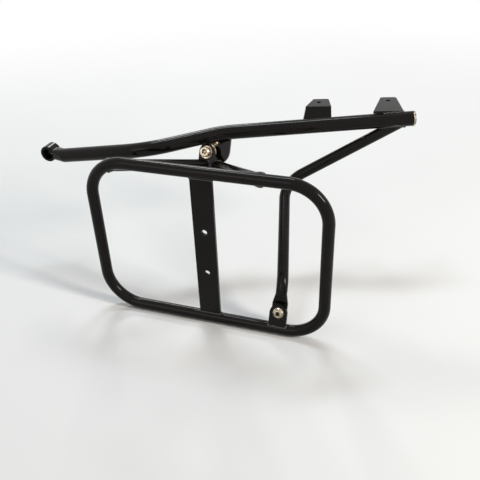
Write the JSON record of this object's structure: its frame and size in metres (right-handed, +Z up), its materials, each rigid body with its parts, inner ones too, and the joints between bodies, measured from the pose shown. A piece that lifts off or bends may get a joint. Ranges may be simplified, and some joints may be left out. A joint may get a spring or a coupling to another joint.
{
  "type": "pannier frame",
  "caption": "Left-hand motorbike pannier frame: a bolted-on loop of bent tube with a grab rail, rear stay and rack tabs.",
  "frame": {"origin": "middle of the front eye's bore", "axes": "+X to the rear of the motorbike, +Y towards its middle, +Z up"},
  "size_m": [0.6199, 0.329, 0.2809],
  "materials": {
    "frame_black": "gloss powder coat",
    "bolt_zinc": "bright zinc plate"
  },
  "bodies": {
    "root": {"loop_tube": "frame_black", "mounting_plate": "frame_black", "front_strut": "frame_black", "rear_strut": "frame_black", "upper_lug": "frame_black", "lower_tab": "frame_black", "upper_rail": "frame_black", "rail_end_cap": "frame_black", "front_eye": "frame_black", "rear_stay": "frame_black", "front_rack_tab": "frame_black", "rear_rack_tab": "frame_black", "hanger_bracket": "frame_black", "upper_bolt": "bolt_zinc", "upper_washer": "bolt_zinc", "upper_spacer": "bolt_zinc", "upper_nut": "bolt_zinc", "bracket_bolts": "bolt_zinc", "bracket_washers": "bolt_zinc", "lower_bolt": "bolt_zinc", "lower_washer": "bolt_zinc", "lower_nut": "bolt_zinc"}
  },
  "joints": []
}
